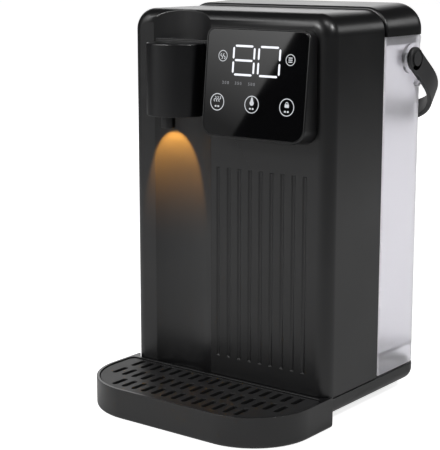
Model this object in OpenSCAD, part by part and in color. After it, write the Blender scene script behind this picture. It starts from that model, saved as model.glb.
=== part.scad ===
// Instant hot water dispenser: upright housing with a touch panel, a spout set in a cove,
// a slide-in drip tray and a lift-off water tank with a swinging handle behind.
// Millimetres. X runs to the right, Y to the back, Z up from the table.

/* [Body] */
// Width of the housing across the front
body_w = 180; // [174:1:188]
// Height of the housing's top above the table
body_h = 296; // [290:1:304]
// Depth of the housing from its front face to the tank seam
body_d = 70.6; // [68.6:0.2:76]
// Radius of the rounded front edges
nose_r = 10.5; // [9:0.5:11.5]
// Radius of the housing's top corners seen from the front
top_r = 16; // [14:0.5:18]
// Wall of the moulded shells
wall = 2.6; // [2.4:0.1:2.8]
// Height of the seam between base and housing
seam_z = 20.5; // [20:0.5:22]

/* [Cove and flutes] */
// Distance of the concave channel's middle from the housing's left side
cove_in = 49; // [47:0.5:50]
// Radius of the channel
cove_r = 61; // [58:1:64]
// Depth of the channel
cove_depth = 6.4; // [5.4:0.2:7]
// Spacing of the flutes
flute_pitch = 9.58; // [9.2:0.02:9.8]
// Width of a flute
flute_w = 3; // [2:0.2:4]
// Depth of a flute
flute_depth = 0.7; // [0.4:0.1:1]
// Height of the flutes' upper ends above the table
flute_top = 182; // [150:1:196]

/* [Control head] */
// Gap between the spout drum and the control head
head_gap = 8.5; // [7:0.5:10]
// Height of the control head along its sloping face
head_h = 78.5; // [77:0.5:80]
// How far the face's lower edge stands out from the wall
head_out = 16.4; // [15:0.2:18]
// Backward slope of the face, in degrees
head_tilt = 6; // [5:0.5:6.5]
// Margin of the head round the glass
glass_in = 1.4; // [1.2:0.1:2]

/* [Spout] */
// Radius of the spout drum
drum_r = 23; // [21.5:0.5:23.5]
// Height of the drum
drum_h = 53.5; // [50:0.5:56]
// Radius of the nozzle
nozzle_r = 5.2; // [4.8:0.1:5.6]

/* [Drip tray] */
// How far the tray reaches out in front of the wall
tray_reach = 73.5; // [72:0.5:82]
// Radius of the tray's front corners
tray_corner = 49; // [44:1:50]
// Height of the tray
tray_h = 23; // [22:0.5:25]
// Spacing of the drain slots
slot_pitch = 9.4; // [9:0.1:9.8]

/* [Tank] */
// Depth of the tank, front to back
tank_d = 62.3; // [60:0.5:70]
// Radius of the tank's rear corners
tank_r = 15; // [12:0.5:17]
// Wall of the tank
tank_wall = 2.4; // [2:0.1:2.6]

/* [Handle] */
// Width of the handle strip
bail_w = 17.2; // [16:0.1:18.4]
// Thickness of the handle strip
bail_t = 3.6; // [3:0.1:4]
// Reach of the handle from its pivots
bail_reach = 84; // [80:0.5:86]
// Outer radius of the handle's two bends
bail_bend = 60; // [52:1:62]
// How far the resting handle points below level, in degrees
bail_tilt = 36.5; // [34:0.5:40]

/* [Clearances] */
// Gap between the housing and the tank behind it
seam_gap = 0.9; // [0.7:0.1:1.2]
// Gap between the tray and the housing
tray_gap = 1.2; // [1:0.1:1.4]
// Gap round parts that lift or turn
fit = 0.3; // [0.2:0.05:0.35]
// Gap round parts pressed or screwed together
press = 0.1; // [0.05:0.01:0.1]

/* [Hidden] */
$fn = 64;
over = 1;

// Housing
inner_w = body_w - 2 * wall;
cove_x = cove_in - body_w / 2;
cove_half = sqrt(2 * cove_r * cove_depth - cove_depth * cove_depth);
bulk_y = body_d - wall;
tower_r = 5;
tower_x = inner_w / 2 - tower_r + wall / 2;
tower_up = 16;
tower_drop = 6;
tower_zs = [seam_z + tower_up, body_h - top_r - tower_drop];
boss_r = 5;
boss_side = 5;
boss_x = body_w / 2 - nose_r - boss_side;
boss_y = wall + boss_r - wall / 2;
boss_h = 22;
rear_boss_x = body_w / 3;
rib_side = 12;
rib_h = 6;
rib_t = 2;
rear_boss_y = bulk_y - boss_r + wall / 2;
line_h = 0.8;
line_deep = 1;
flute_up = 18;
flute_side = 10;
flute_bottom = seam_z + flute_up;
flute_r = (flute_w * flute_w / 4 + flute_depth * flute_depth) / (2 * flute_depth);
flute_x = body_w / 2 - nose_r - flute_side;
flute_n = 1 + floor((flute_x - cove_x - cove_half - flute_side / 2) / flute_pitch);
screw_r = 1.5;
screw_bite = 12;
screw_head_r = 3;
screw_head_h = 1.4;

// Base and its cover
base_h = 13.5;
base_r = tank_r;
base_edge = nose_r - 1.5;
base_z0 = seam_z - base_h;
cover_t = 2;
pan_w = body_w * 2 / 3;
pan_y = 18;
pan_z = 2;
pan_floor = 2.4;
pan_r = 12;
pan_edge = 2;
gland_r = 3;
gland_lip = 1.4;
gland_port = gland_r + gland_lip + 0.6;
gland_t = 2;
gland_deep = 5;
gland_wall = 0.9;
gland_side = 14;
gland_x = body_w / 2 - base_r - gland_side;
gland_z = base_z0 + cover_t + gland_r + fit;
foot_r = 8;
foot_h = 3;
foot_taper = 1;
foot_in = 14;
foot_x = pan_w / 2 - foot_in;
tongue_x = body_w / 4;
tongue_w = 12;
tongue_h = 5;
tongue_l = 3;
tongue_z = seam_z - wall - tongue_h - press;

// Tank and lid
tank_in = 0.4;
tank_w = body_w - 2 * tank_in;
tank_y = body_d + seam_gap;
tank_back = tank_y + tank_d;
tank_up = 1.6;
tank_drop = 19;
tank_z0 = seam_z + tank_up;
tank_z1 = body_h - tank_drop;
tank_front_r = 3;
skirt_h = 15.5;
tank_floor = seam_z + skirt_h;
bead_h = 4.5;
bead_drop = 1.5;
bead_out = 0.5;
lid_out = 1.5;
lid_rise = 4;
lid_w = body_w + 2 * lid_out;
lid_d = tank_d + lid_out;
lid_top = body_h + lid_rise;
lid_shelf = 2;
lid_r = 20;
lid_edge = 19.5;
lid_wall = 2.2;
lid_rim_w = 1.8;
lid_rim_h = 4;
lid_rim_gap = 0.5;
base_l = tank_back;
pan_back = 12;
pan_l = base_l - pan_y - pan_back;
cover_screw_out = 12;
cover_screw_front = 10;
cover_screw_back = 9;
cover_screw_ys = [pan_y + cover_screw_front, base_l - base_r - cover_screw_back];
rim_gap = 0.6;
rim_t = 2;
rim_h = 3.4;
post = 12;
post_t = 2.4;
post_side = 35;
post_x = tank_w / 2 - post_side;
post_in = 17;

// Handle
bail_out = 6;
bail_gap = 0.4;
pivot_in = 35.6;
pivot_drop = 17.2;
pivot_deep = 6;
bail_x = body_w / 2 + bail_out;
pivot_y = tank_y + pivot_in;
pivot_z = tank_z1 - pivot_drop;
pivot_r = 4;
pad_r = 11;
pad_x = bail_x - bail_t - bail_gap;
cap_r = 5.5;
cap_t = 1;
stop_at = 17;
stop_w = 3;

// Place of the whole part: the middle of its depth lies on Y = 0
handle_back = pivot_y + bail_reach * cos(bail_tilt) + bail_w / 2 * sin(bail_tilt);
front_y = (tray_reach - handle_back) / 2;

// Tank valve
valve_y = tank_y + tank_d / 2;
valve_r = 9;
valve_bore = 5.5;
valve_drop = 10;
valve_seat = 4;
valve_z0 = tank_floor - valve_drop;
seat_z = valve_z0 + valve_seat;
seat_r = 3.2;
flange_r = 15;
flange_z = tank_floor + tank_wall;
flange_t = 2.2;
nut_t = 4;
cage_z = flange_z + flange_t;
cage_h = 13.4;
cage_cap = 2;
cage_slot = 5;
poppet_open = 4;
poppet_z = seat_z + poppet_open;
seal_t = 1.4;
poppet_r = 4.8;
poppet_t = 1.6;
stem_r = 1.8;
pin_r = 1.5;
pin_rise = 1;
pin_top = valve_z0 + pin_rise;
spring_z0 = poppet_z + seal_t + poppet_t;
spring_z1 = cage_z + cage_h - cage_cap;
spring_r = 3.6;
spring_wire = 0.5;
spring_curls = 5;

// Inlet socket and hoses
socket_r = 13;
socket_flange = 17;
socket_seal_t = 2;
socket_gap = 1.2;
socket_floor = valve_z0 - socket_seal_t;
socket_top = tank_floor - nut_t - socket_gap;
pipe_r = 3;
pipe_bore = 2;
hose_r = 4.5;
hose_bore = pipe_r + press;
hose_bend = 7;
hose_z = pan_z + pan_floor + hose_r + fit;
nipple = 8;

// Pump
pump_y = (wall + bulk_y) / 2;
pump_up = 27.5;
pump_z = seam_z + pump_up;
pump_x = 2 * hose_bend;
pump_r = 20;
pump_t = 16;
pump_skin = 4;
chamber_r = pump_r - pump_skin;
vane_h = 4;
vane_t = 1.6;
shaft_in = 4;
impeller_r = chamber_r - 2;
shaft_r = 2;
motor_r = 14;
motor_side = 15.4;
hub = 2;
motor_x = pump_x + hub + pump_t;
chamber_x = pump_x + hub + pump_skin;
motor_end = inner_w / 2 - motor_side;
motor_l = motor_end - motor_x;
cradle_in = 5;
cradle_arch = 9;
pump_out_x = pump_x + hub + pump_t / 2;
pump_top = pump_z + pump_r + hub;

// Heater
heater_x = pump_out_x;
heater_r = 20;
heater_up = 62;
heater_z = pump_z + heater_up;
heater_h = 90;
cap_h = 4;
cap_out = 3;
clamp_t = 2;
clamp_w = 12;
clamp_zs = [heater_z + heater_h / 5, heater_z + heater_h * 3 / 4];
clamp_foot = 20;
sensor_r = 4;
sensor_h = 12;
pad_z = heater_z + heater_h / 3 + 2;
pad_out = 2;
cutout_r = 7;
cutout_t = 3;
pad_h = 4 * cutout_r + 2 * cap_out;
cutout_z = pad_z + cutout_r + pad_out;

// Spout
drum_left = 1;
drum_x = cove_x - drum_left;
drum_y = -4;
drum_drop = 23.5;
drum_z1 = body_h - drum_drop;
drum_z0 = drum_z1 - drum_h;
drum_wall = 2;
drum_edge = 1.6;
shelf_up = 1.8;
shelf_side = 2;
nozzle_y = -15;
nozzle_drop = 9;
spout_up = 21;
nozzle_z0 = drum_z0 - nozzle_drop;
spout_z = drum_z0 + spout_up;
spout_bend = 7;
shoulder_y = 15;
shoulder_r = hose_r + 1;
socket_y = 2;
lens_side = 9;
lens_x = drum_x - lens_side;
lens_y = -5;
lens_r = 3.2;

// Control head
head_side = 0.5;
head_right = body_w / 2 - nose_r - head_side;
head_w = head_right - drum_x - drum_r - head_gap;
head_x = head_right - head_w / 2;
glass_w = head_w - 2 * glass_in;
glass_h = head_h - 2 * glass_in;
head_z0 = body_h - nose_r - head_h;
head_deep = 30;
head_low_r = 10;
head_top_r = 7;
head_edge = glass_in - 0.2;
head_wall = 3;
head_rim = 5;
glass_t = 1.4;
board_t = 1.6;
panel_back = 4;
head_screw_in = 8.5;
head_screw_x = head_w / 2 - head_screw_in;
head_screw_zs = [head_z0 + head_screw_in, head_z0 + head_h - head_screw_in];
head_post_r = 3.5;
head_bite = 3.6;
wire_drop = 38;
wire_x = head_x;
wire_z = body_h - wire_drop;
window_r = 4;
module_w = glass_w * 0.6;
module_h = glass_h * 0.4;
module_up = glass_in + glass_h / 2;
board_w = glass_w * 0.7;

// Power board
card_w = 56;
card_side = 9;
card_up = 50;
card_x = card_w / 2 + card_side - inner_w / 2;
card_z = seam_z + card_up;
card_h = 130;
standoff = 9;
standoff_r = 3;
standoff_in = 6;
card_y = bulk_y - standoff;
card_block = 25;
card_fin = 2;
plug = 8;
plug_at = 0.88;
cutout_y = pump_y - heater_r - pad_out - cutout_t / 2;
wire_r = 1.5;
wire_bend = 3;

// Drip tray and grid
tray_w = body_w + 4;
tray_back = 6.5;
tray_edge = 3;
tray_rim = 2.2;
tray_ledge = 2.6;
tray_floor = 2.4;
grid_t = 2.4;
grid_gap = 0.6;
grid_drop = 0.8;
grid_r = 4;
grid_z = tray_h - grid_t - grid_drop;
slot_l = 15.5;
slot_w = 4.1;
row_pitch = 21.5;
row_y = -13.5;
row_slots = [17, 17, 13];

// Shared shapes

module quarter(r) {
    intersection() {
        circle(r);
        square(r);
    }
}

// Flat outline of width w and length l with corner radii r0 at the near end and r1 at the far end
module plate(w, l, r0, r1) {
    translate([-w / 2, r0]) square([w, l - r0 - r1]);
    if (r0 > 0) {
        translate([r0 - w / 2, 0]) square([w - 2 * r0, r0]);
        for (side = [0, 1])
            mirror([side, 0]) translate([w / 2 - r0, r0]) rotate(-90) quarter(r0);
    }
    if (r1 > 0) {
        translate([r1 - w / 2, l - r1]) square([w - 2 * r1, r1]);
        for (side = [0, 1])
            mirror([side, 0]) translate([w / 2 - r1, l - r1]) quarter(r1);
    }
}

// Half section of a block of height h whose upper outer edge is rounded by e
module lip(r, h, e) {
    square([r, h - e]);
    if (r > e) translate([0, h - e]) square([r - e, e]);
    translate([r - e, h - e]) quarter(e);
}

// One rounded end of a soft block
module soft_end(w, h, r, e) {
    translate([r - w / 2, 0, 0]) rotate([90, 0, 90]) linear_extrude(w - 2 * r) lip(r, h, e);
    for (side = [0, 1])
        mirror([side, 0, 0]) translate([w / 2 - r, 0, 0]) rotate_extrude(angle = 90) lip(r, h, e);
}

// Block on the outline of plate() whose upper edge is rounded by e; an end of radius 0 stays flat
module soft_block(w, l, h, r0, r1, e) {
    translate([0, l - r1, 0]) rotate([90, 0, 0]) linear_extrude(l - r0 - r1) plate(w, h, 0, e);
    if (r1 > 0) translate([0, l - r1, 0]) soft_end(w, h, r1, e);
    if (r0 > 0) translate([0, r0, 0]) mirror([0, 1, 0]) soft_end(w, h, r0, e);
}

// Tube along a path of points whose legs follow the axes, with bends of radius bend
module run(points, r, bore, bend) {
    last = len(points) - 1;
    for (i = [0 : last - 1]) {
        step = points[i + 1] - points[i];
        dir = step / norm(step);
        side = [dir[1], dir[2], dir[0]];
        cut0 = i == 0 ? 0 : bend;
        cut1 = i == last - 1 ? 0 : bend;
        frame(points[i] + dir * cut0, side, cross(dir, side), dir)
            linear_extrude(norm(step) - cut0 - cut1) ring(r, bore);
        if (i < last - 1) {
            turn = points[i + 2] - points[i + 1];
            next = turn / norm(turn);
            frame(points[i + 1] + (next - dir) * bend, -next, dir, cross(dir, next))
                rotate_extrude(angle = 90) translate([bend, 0]) ring(r, bore);
        }
    }
}

module ring(r, bore) {
    difference() {
        circle(r);
        if (bore > 0) circle(bore);
    }
}

// Places a shape at point p with its own axes along x, y and z
module frame(p, x, y, z) {
    multmatrix([[x[0], y[0], z[0], p[0]], [x[1], y[1], z[1], p[1]], [x[2], y[2], z[2], p[2]]]) children();
}

// Turns a shape's Z towards the back, and towards the right
module to_back() { rotate([-90, 0, 0]) children(); }
module to_right() { rotate([0, 90, 0]) children(); }

// Screw with its head's seat at Z = 0 and its shank upwards
module screw(length) {
    cylinder(r = screw_r - 2 * press, h = length);
    translate([0, 0, -screw_head_h]) difference() {
        cylinder(r = screw_head_r, h = screw_head_h);
        translate([-0.4, -1.8, -over]) cube([0.8, 3.6, over + 0.8]);
        translate([-1.8, -0.4, -over]) cube([3.6, 0.8, over + 0.8]);
    }
}

module both_sides() { for (side = [0, 1]) mirror([side, 0, 0]) children(); }

// The housing's outer form drawn in by inset, and run on by extra at its open bottom and back
module housing_form(inset, extra) {
    translate([0, body_d + extra, seam_z - extra]) rotate([90, 0, 0])
        soft_block(body_w - 2 * inset, body_h - seam_z - inset + extra, body_d - inset + extra,
            0, top_r - inset, nose_r - inset);
}

module cove(r) {
    translate([cove_x, cove_depth - cove_r, 0]) cylinder(r = r, h = body_h + over);
}

module at_towers() {
    for (z = tower_zs) both_sides() translate([tower_x, 0, z]) children();
}

module at_bosses() {
    both_sides() {
        translate([boss_x, boss_y, seam_z]) children();
        translate([rear_boss_x, rear_boss_y, seam_z]) children();
    }
}

module at_head_screws() {
    for (z = head_screw_zs, side = [-1, 1]) translate([head_x + side * head_screw_x, 0, z]) children();
}

// Housing, bulkhead, base and cover

module front_housing() color([0.06, 0.06, 0.065]) difference() {
    union() {
        difference() {
            housing_form(0, 0);
            difference() {
                housing_form(wall, over);
                cove(cove_r + wall);
            }
        }
        intersection() {
            housing_form(wall / 2, 0);
            union() {
                at_towers() to_back() cylinder(r = tower_r, h = bulk_y);
                both_sides() translate([boss_x, boss_y, seam_z]) cylinder(r = boss_r, h = boss_h);
            }
        }
    }
    cove(cove_r);
    translate([0, 0, seam_z - over]) linear_extrude(line_h + over) difference() {
        translate([0, -line_deep]) plate(body_w + 2 * line_deep, body_d + 2 * line_deep, nose_r, 0);
        translate([0, line_deep]) plate(body_w - 2 * line_deep, body_d + line_deep, nose_r - line_deep, 0);
    }
    for (i = [0 : flute_n - 1])
        translate([flute_x - i * flute_pitch, flute_depth - flute_r, flute_bottom])
            cylinder(r = flute_r, h = flute_top - flute_bottom);
    at_towers() translate([0, bulk_y - screw_bite, 0]) to_back()
        cylinder(r = screw_r - press, h = screw_bite + over);
    at_bosses() translate([0, 0, -over]) cylinder(r = screw_r - press, h = screw_bite + over);
    at_head_screws() translate([0, -over, 0]) to_back() cylinder(r = screw_r + press, h = wall + 2 * over);
    translate([drum_x, 0, spout_z]) to_back() cylinder(r = shoulder_r + fit, h = shoulder_y);
    translate([wire_x, -over, wire_z]) to_back() cylinder(r = window_r, h = wall + 2 * over);
}

module bulkhead() color([0.09, 0.09, 0.095]) difference() {
    union() {
        translate([0, body_d, seam_z]) rotate([90, 0, 0]) linear_extrude(wall)
            plate(inner_w - 2 * fit, body_h - seam_z - wall - fit, 0, top_r - wall - fit);
        intersection() {
            both_sides() translate([rear_boss_x, rear_boss_y, seam_z]) cylinder(r = boss_r, h = boss_h);
            translate([-body_w / 2, 0, 0]) cube([body_w, body_d - wall / 2, body_h]);
        }
        both_sides() translate([rear_boss_x + rib_side, bulk_y - rib_h, seam_z + boss_h + rib_h])
            cube([rib_t, rib_h + wall / 2, body_h - seam_z - boss_h - top_r - 4 * rib_h]);
        for (x = [-1, 1], z = [card_z + standoff_in, card_z + card_h - standoff_in])
            translate([card_x + x * (card_w / 2 - standoff_in), card_y, z]) to_back()
                cylinder(r = standoff_r, h = standoff + wall / 2);
    }
    at_towers() translate([0, bulk_y - over, 0]) to_back() cylinder(r = screw_r + press, h = wall + 2 * over);
    at_towers() translate([0, body_d - screw_head_h - press, 0]) to_back()
        cylinder(r = screw_head_r + fit, h = screw_head_h + over);
    at_bosses() translate([0, 0, -over]) cylinder(r = screw_r - press, h = screw_bite + over);
}

// The base's outer form drawn in by inset, with its lower edge rounded all round
module base_form(inset) {
    translate([0, inset, seam_z - inset]) mirror([0, 0, 1])
        soft_block(body_w - 2 * inset, base_l - 2 * inset, base_h - 2 * inset,
            nose_r - inset, base_r - inset, base_edge - inset);
}

// The opening in the base's flat underside, drawn in by inset
module base_floor(inset) {
    side = base_edge + inset;
    translate([0, side]) plate(body_w - 2 * side, base_l - 2 * side, nose_r - side, base_r - side);
}

module base() color([0.06, 0.06, 0.065]) difference() {
    union() {
        difference() {
            base_form(0);
            base_form(wall);
            translate([0, 0, base_z0 - over]) linear_extrude(2 * wall) base_floor(0);
        }
        at_gland() mirror([0, 0, 1]) cylinder(r = gland_port, h = base_edge);
        at_cover_screws() translate([0, 0, base_z0 + cover_t])
            cylinder(r = boss_r - 1, h = base_h - cover_t - wall / 2);
        tongues(0, wall / 2);
        translate([0, 0, seam_z - wall / 2]) linear_extrude(rim_h + wall / 2) difference() {
            tank_outline(-tank_wall - rim_gap);
            tank_outline(-tank_wall - rim_gap - rim_t);
        }
        at_posts() {
            translate([-post / 2, -post_t / 2, seam_z - wall / 2])
                cube([post, post_t, tank_floor - seam_z + wall / 2]);
            translate([-post_t / 2, -post / 2, seam_z - wall / 2])
                cube([post_t, post, tank_floor - seam_z + wall / 2]);
        }
    }
    at_bosses() translate([0, 0, -wall - over]) cylinder(r = screw_r + press, h = wall + 2 * over);
    at_cover_screws() translate([0, 0, base_z0]) cylinder(r = screw_r - press, h = base_h - wall);
    translate([0, valve_y, seam_z - wall - over]) cylinder(r = pipe_r + fit, h = wall + 2 * over);
    translate([0, pump_y, seam_z - wall - over]) cylinder(r = hose_r + 2 * fit, h = wall + 2 * over);
    at_gland() translate([0, 0, -base_edge - over]) cylinder(r = gland_r + press, h = base_edge + 2 * over);
}

// Two tongues that locate the tray, or, drawn larger by gap, the slots for them
module tongues(gap, back) {
    both_sides() translate([tongue_x - tongue_w / 2 - gap, -tray_gap - tongue_l, tongue_z - gap])
        cube([tongue_w + 2 * gap, tray_gap + tongue_l + back, tongue_h + 2 * gap]);
}

module at_cover_screws() {
    for (y = cover_screw_ys) both_sides() translate([pan_w / 2 + cover_screw_out, y, 0]) children();
}

module at_posts() {
    for (y = [tank_y + post_in, tank_back - post_in]) both_sides() translate([post_x, y, 0]) children();
}

module base_cover() color([0.09, 0.09, 0.095]) difference() {
    union() {
        translate([0, 0, base_z0]) linear_extrude(cover_t) base_floor(fit);
        translate([0, pan_y, base_z0 + cover_t]) mirror([0, 0, 1])
            soft_block(pan_w, pan_l, base_z0 + cover_t - pan_z, pan_r, pan_r, pan_edge);
    }
    translate([0, pan_y + wall, pan_z + pan_floor]) linear_extrude(base_z0)
        plate(pan_w - 2 * wall, pan_l - 2 * wall, pan_r - wall, pan_r - wall);
    at_feet() translate([0, 0, -over]) cylinder(r = foot_r + press, h = foot_h + over);
    at_cover_screws() translate([0, 0, base_z0 - over]) cylinder(r = screw_r + press, h = cover_t + 2 * over);
}

module at_feet() {
    for (y = [pan_y + foot_in, pan_y + pan_l - foot_in]) both_sides() translate([foot_x, y, 0]) children();
}

module feet() color([0.05, 0.05, 0.05]) at_feet() {
    cylinder(r1 = foot_r - foot_taper, r2 = foot_r, h = foot_taper);
    translate([0, 0, foot_taper]) cylinder(r = foot_r, h = foot_h - foot_taper);
}

module at_gland() { translate([gland_x, base_l, gland_z]) to_back() children(); }

module cord_gland() color([0.05, 0.05, 0.05]) at_gland() difference() {
    union() {
        translate([0, 0, -wall - gland_deep]) cylinder(r = gland_r, h = wall + gland_deep);
        cylinder(r = gland_r + gland_lip, h = gland_t);
    }
    translate([0, 0, -wall - gland_deep - over])
        cylinder(r = gland_r - gland_wall, h = wall + gland_deep + gland_t + 2 * over);
}

// Screws

module housing_screws() color([0.6, 0.6, 0.62])
    at_towers() translate([0, body_d - screw_head_h - press, 0]) rotate([90, 0, 0])
        screw(screw_bite);

module base_screws() color([0.6, 0.6, 0.62])
    at_bosses() translate([0, 0, -wall]) screw(wall + screw_bite - 1);

module cover_screws() color([0.6, 0.6, 0.62])
    at_cover_screws() translate([0, 0, base_z0]) screw(base_h - wall - 1);

module head_screws() color([0.6, 0.6, 0.62])
    at_head_screws() translate([0, wall, 0]) rotate([90, 0, 0]) screw(wall + head_bite - 4 * press);

// Drip tray

module tray_hole(inset, z0) {
    back = -tray_gap - inset;
    translate([0, back, z0]) mirror([0, 1, 0]) linear_extrude(tray_h)
        plate(tray_w - 2 * inset, tray_reach - inset + back, grid_r, tray_corner - inset);
}

module drip_tray() color([0.06, 0.06, 0.065]) difference() {
    translate([0, tray_back, tray_h]) rotate([180, 0, 0])
        soft_block(tray_w, tray_reach + tray_back, tray_h, 0, tray_corner, tray_edge);
    translate([0, -tray_gap, -over]) linear_extrude(tray_h + 2 * over)
        plate(body_w + 2 * tray_gap, 2 * tray_back + body_d, nose_r + tray_gap, 0);
    tongues(fit, over);
    tray_hole(tray_rim, grid_z);
    tray_hole(tray_rim + tray_ledge, tray_floor);
}

module slot() {
    translate([-slot_w / 2, slot_w / 2 - slot_l / 2]) square([slot_w, slot_l - slot_w]);
    for (side = [0, 1], half = [0, 1])
        mirror([side, 0]) mirror([0, half]) translate([0, slot_l / 2 - slot_w / 2]) quarter(slot_w / 2);
}

module drip_grid() color([0.05, 0.05, 0.055]) translate([0, 0, grid_z]) linear_extrude(grid_t) {
    inset = tray_rim + grid_gap;
    back = -tray_gap - inset;
    difference() {
        translate([0, back]) mirror([0, 1])
            plate(tray_w - 2 * inset, tray_reach - inset + back, grid_r, tray_corner - inset);
        for (row = [0 : len(row_slots) - 1], i = [0 : row_slots[row] - 1])
            translate([(i - (row_slots[row] - 1) / 2) * slot_pitch, row_y - row * row_pitch]) slot();
    }
}

// Tank, lid and handle

module tank_outline(grow) {
    translate([0, tank_y - grow])
        plate(tank_w + 2 * grow, tank_d + 2 * grow, tank_front_r + grow, tank_r + grow);
}

module water_tank() color([0.82, 0.84, 0.87, 0.6]) difference() {
    union() {
        translate([0, 0, tank_z0]) linear_extrude(tank_z1 - tank_z0) tank_outline(0);
        translate([0, 0, tank_z1 - bead_drop - bead_h]) linear_extrude(bead_h)
            difference() {
                tank_outline(bead_out);
                tank_outline(-tank_wall / 2);
            }
        both_sides() translate([tank_w / 2 - 1, pivot_y, pivot_z]) to_right()
            cylinder(r = pad_r, h = pad_x - tank_w / 2 + 1);
        both_sides() bail_frame() translate([tank_w / 2 - 1, stop_at, -bail_w / 2 - stop_w])
            cube([pad_x + bail_t / 2 - tank_w / 2 + 1, stop_w, stop_w]);
    }
    difference() {
        translate([0, 0, tank_floor + tank_wall]) linear_extrude(tank_z1) tank_outline(-tank_wall);
        both_sides() translate([tank_w / 2 - pivot_deep - tank_wall, pivot_y, pivot_z]) to_right()
            cylinder(r = pivot_r + tank_wall, h = pivot_deep + tank_wall);
    }
    translate([0, 0, tank_z0 - over]) linear_extrude(tank_floor - tank_z0 + over) tank_outline(-tank_wall);
    translate([0, valve_y, tank_floor - over]) cylinder(r = valve_r + press, h = tank_wall + 2 * over);
    both_sides() translate([tank_w / 2 - pivot_deep, pivot_y, pivot_z]) to_right()
        cylinder(r = pivot_r, h = pivot_deep + pad_x);
}

module lid_outline(inset) {
    translate([0, tank_y + inset]) plate(lid_w - 2 * inset, lid_d - 2 * inset, 0, lid_r - inset);
}

module tank_lid() color([0.06, 0.06, 0.065]) {
    shelf = (lid_w - tank_w) / 2 + tank_wall + lid_rim_gap + lid_rim_w;
    difference() {
        translate([0, tank_y, tank_z1]) soft_block(lid_w, lid_d, lid_top - tank_z1, 0, lid_r, lid_edge);
        translate([0, tank_y + lid_wall, tank_z1 + lid_shelf])
            soft_block(lid_w - 2 * lid_wall, lid_d - 2 * lid_wall,
                lid_top - tank_z1 - lid_shelf - lid_wall, 0, lid_r - lid_wall, lid_edge - lid_wall);
        translate([0, 0, tank_z1 - over]) linear_extrude(lid_shelf + 2 * over) lid_outline(shelf);
    }
    translate([0, 0, tank_z1 - lid_rim_h]) linear_extrude(lid_rim_h + 1) difference() {
        tank_outline(-tank_wall - lid_rim_gap);
        tank_outline(-tank_wall - lid_rim_gap - lid_rim_w);
    }
}

// The handle's own frame: Y runs from its pivots along its arms, Z across the strip
module bail_frame() { translate([0, pivot_y, pivot_z]) rotate([-bail_tilt, 0, 0]) children(); }

module tank_handle() color([0.06, 0.06, 0.065]) bail_frame() difference() {
    union() {
        translate([0, 0, -bail_w / 2]) linear_extrude(bail_w) difference() {
            plate(2 * bail_x, bail_reach, 0, bail_bend);
            translate([0, -over])
                plate(2 * (bail_x - bail_t), bail_reach - bail_t + over, 0, bail_bend - bail_t);
        }
        both_sides() translate([bail_x - bail_t, 0, 0]) rotate([90, 0, 90]) linear_extrude(bail_t)
            for (half = [0, 1]) mirror([0, half]) rotate(90) quarter(bail_w / 2);
    }
    both_sides() translate([bail_x - bail_t - over, 0, 0]) to_right()
        cylinder(r = pivot_r + fit, h = bail_t + 2 * over);
}

module handle_pivots() color([0.06, 0.06, 0.065])
    both_sides() translate([0, pivot_y, pivot_z]) to_right() {
        translate([0, 0, tank_w / 2 - pivot_deep])
            cylinder(r = pivot_r - press, h = bail_x + fit - tank_w / 2 + pivot_deep);
        translate([0, 0, bail_x + fit]) cylinder(r = cap_r, h = cap_t);
    }

// Tank valve, all on one upright axis

module on_valve() { translate([0, valve_y, 0]) children(); }

module tube(z0, z1, r, bore) { translate([0, 0, z0]) linear_extrude(z1 - z0) ring(r, bore); }

module tank_valve_body() color([0.85, 0.85, 0.85]) on_valve() {
    tube(valve_z0, seat_z, valve_r, seat_r);
    tube(seat_z, flange_z, valve_r, valve_bore);
    tube(flange_z, cage_z, flange_r, valve_bore);
}

module valve_nut() color([0.2, 0.2, 0.21]) on_valve() difference() {
    translate([0, 0, tank_floor - nut_t]) cylinder(r = flange_r, h = nut_t, $fn = 6);
    translate([0, 0, tank_floor - nut_t - over]) cylinder(r = valve_r + press, h = nut_t + 2 * over);
}

module valve_cage() color([0.85, 0.85, 0.85]) on_valve() difference() {
    union() {
        tube(cage_z, cage_z + cage_h - cage_cap, valve_r, valve_r - cage_cap);
        tube(cage_z + cage_h - cage_cap, cage_z + cage_h, valve_r, stem_r + fit);
    }
    for (turn = [0, 60, 120]) rotate(turn) translate([-valve_r - over, -cage_slot / 2, cage_z + cage_cap])
        cube([2 * valve_r + 2 * over, cage_slot, cage_h - 3 * cage_cap]);
}

module valve_poppet() color([0.85, 0.85, 0.85]) on_valve() {
    tube(pin_top, poppet_z + seal_t, pin_r, 0);
    tube(poppet_z + seal_t, spring_z0, poppet_r, 0);
    tube(spring_z0, cage_z + cage_h + cage_cap, stem_r, 0);
}

module valve_seal() color([0.15, 0.15, 0.15]) on_valve()
    tube(poppet_z, poppet_z + seal_t, poppet_r, pin_r);

// One unbroken wire wound as a spring: rings of 6 points joined along the helix
rings_per_curl = 8;
wire_sides = 6;
spring_rings = spring_curls * rings_per_curl + 1;
spring_rise = (spring_z1 - spring_z0 - 2 * spring_wire) / spring_curls;
echo(least_spring_gap = spring_rise - 2 * spring_wire);

function spring_point(k, s) =
    let (turn = 360 * k / rings_per_curl, side = 360 * s / wire_sides)
    let (r = spring_r + spring_wire * cos(side))
    [r * cos(turn), r * sin(turn),
        spring_z0 + spring_wire + spring_rise * k / rings_per_curl + spring_wire * sin(side)];

module valve_spring() color([0.7, 0.7, 0.72]) on_valve() polyhedron(
    points = [for (k = [0 : spring_rings - 1], s = [0 : wire_sides - 1]) spring_point(k, s)],
    faces = concat(
        [[for (s = [0 : wire_sides - 1]) s]],
        [[for (s = [0 : wire_sides - 1]) spring_rings * wire_sides - 1 - s]],
        [for (k = [0 : spring_rings - 2], s = [0 : wire_sides - 1], half = [0, 1])
            let (a = k * wire_sides + s, b = k * wire_sides + (s + 1) % wire_sides)
            half == 0 ? [a, a + wire_sides, b] : [b, a + wire_sides, b + wire_sides]]));

// Socket under the tank, hoses and pump

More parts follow.
